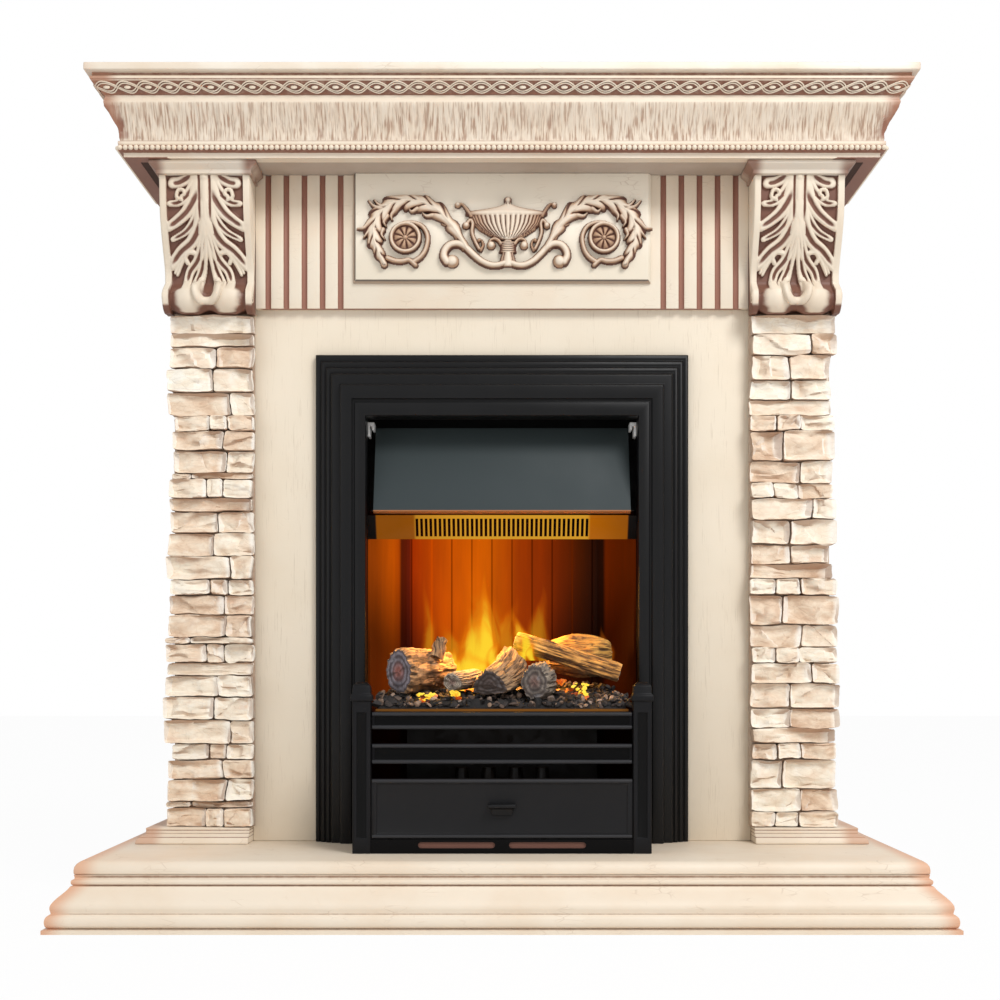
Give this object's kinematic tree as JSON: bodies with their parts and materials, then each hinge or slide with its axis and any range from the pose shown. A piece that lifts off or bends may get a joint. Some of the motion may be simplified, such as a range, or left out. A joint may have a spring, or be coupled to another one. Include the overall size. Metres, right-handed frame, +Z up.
{
  "type": "electric fireplace suite",
  "caption": "Cream cast portal with urn frieze, scrolled corbels and stone-clad legs on a moulded hearth, round an inset electric fire with logs, fret and ash pan.",
  "frame": {"origin": "floor level, middle of the hearth's width and depth", "axes": "+Z up, the front faces -Y and the back stands against a wall at +Y, +X to the viewer's right from the front"},
  "size_m": [1.105, 0.41, 1.1],
  "materials": {
    "cream_cast": "painted cream with a brown patina rubbed into its relief",
    "cast_stone": "cast stacked stone, matt",
    "core_board": "raw board",
    "satin_black": "satin black enamel",
    "hood_grey": "satin blue grey",
    "copper_mirror": "copper tinted mirror",
    "galvanised_steel": "galvanised sheet",
    "copper_plate": "copper coloured plate",
    "log_resin": "moulded and painted as charred logs",
    "coal_resin": "moulded coals, dark, lit from below",
    "white_plastic": "plain",
    "black_plastic": "fine texture",
    "tank_plastic": "translucent",
    "ceramic_element": "bare"
  },
  "bodies": {
    "chassis": {"basket_tray": "satin_black", "casing": "galvanised_steel", "chamber_top": "galvanised_steel", "control_panel": "black_plastic", "corbel_cap_left": "cream_cast", "corbel_cap_right": "cream_cast", "corbel_left": "cream_cast", "corbel_right": "cream_cast", "cornice": "cream_cast", "fan_channel": "galvanised_steel", "fan_motor": "black_plastic", "fret_bar_lower": "satin_black", "fret_bar_upper": "satin_black", "fret_post_left": "satin_black", "fret_post_right": "satin_black", "frieze_board": "cream_cast", "frieze_raised_panel": "cream_cast", "hearth_core": "core_board", "hearth_moulding": "cream_cast", "hearth_top_board": "cream_cast", "heater_grille": "copper_plate", "heating_element": "ceramic_element", "hood_clip_left": "white_plastic", "hood_clip_right": "white_plastic", "lamp_bar": "galvanised_steel", "mains_inlet": "black_plastic", "mantel_shelf": "cream_cast", "mirror_back": "copper_mirror", "mirror_left": "copper_mirror", "mirror_right": "copper_mirror", "mist_generator": "black_plastic", "pilaster_core_left": "core_board", "pilaster_core_right": "core_board", "plinth_left": "cream_cast", "plinth_right": "cream_cast", "soffit_board": "cream_cast", "stone_column_left": "cast_stone", "stone_column_right": "cast_stone", "surround_panel": "cream_cast", "trim_frame": "satin_black", "urn_relief": "cream_cast"},
    "drawer": {"drawer_front": "satin_black", "drawer_handle": "satin_black", "drawer_pan": "black_plastic"},
    "tank": {"water_tank": "tank_plastic"},
    "tank_cap": {"tank_cap": "black_plastic"},
    "hood": {"hood": "hood_grey"},
    "fuel_bed": {"fuel_tray": "copper_plate", "coal_bed": "coal_resin", "log_left": "log_resin", "log_small": "log_resin", "log_split": "log_resin", "log_front": "log_resin", "log_long": "log_resin", "log_back": "log_resin"},
    "fan": {"fan_wheel": "galvanised_steel"},
    "rocker_power": {"rocker_power": "black_plastic"},
    "rocker_heat_low": {"rocker_heat_low": "black_plastic"},
    "rocker_heat_high": {"rocker_heat_high": "black_plastic"},
    "flame_knob": {"flame_knob": "black_plastic"}
  },
  "joints": [
    {"name": "drawer_slide", "type": "slide", "parent": "chassis", "child": "drawer", "axis": [0, -1, 0], "range_m": [0, 0.11]},
    {"name": "tank_lift", "type": "slide", "parent": "drawer", "child": "tank", "axis": [0, 0, 1], "range_m": [0, 0.03]},
    {"name": "tank_cap_turn", "type": "hinge", "parent": "tank", "child": "tank_cap", "pos_m": [-0.105, -0.0302, 0.1551], "axis": [0, 0, 1], "continuous": true},
    {"name": "hood_lift", "type": "slide", "parent": "chassis", "child": "hood", "axis": [0, 0, 1], "range_m": [0, 0.012]},
    {"name": "fuel_bed_lift", "type": "slide", "parent": "chassis", "child": "fuel_bed", "axis": [0, 0, 1], "range_m": [0, 0.06]},
    {"name": "fan_spin", "type": "hinge", "parent": "chassis", "child": "fan", "pos_m": [0, 0.131, 0.5637], "axis": [1, 0, 0], "continuous": true},
    {"name": "power_rock", "type": "hinge", "parent": "chassis", "child": "rocker_power", "pos_m": [0.0881, -0.06, 0.1444], "axis": [1, 0, 0], "range_deg": [-8, 8]},
    {"name": "heat_low_rock", "type": "hinge", "parent": "chassis", "child": "rocker_heat_low", "pos_m": [0.1061, -0.06, 0.1444], "axis": [1, 0, 0], "range_deg": [-8, 8]},
    {"name": "heat_high_rock", "type": "hinge", "parent": "chassis", "child": "rocker_heat_high", "pos_m": [0.1241, -0.06, 0.1444], "axis": [1, 0, 0], "range_deg": [-8, 8]},
    {"name": "flame_knob_turn", "type": "hinge", "parent": "chassis", "child": "flame_knob", "pos_m": [0.1501, -0.06, 0.1444], "axis": [0, 1, 0], "range_deg": [0, 270]}
  ]
}
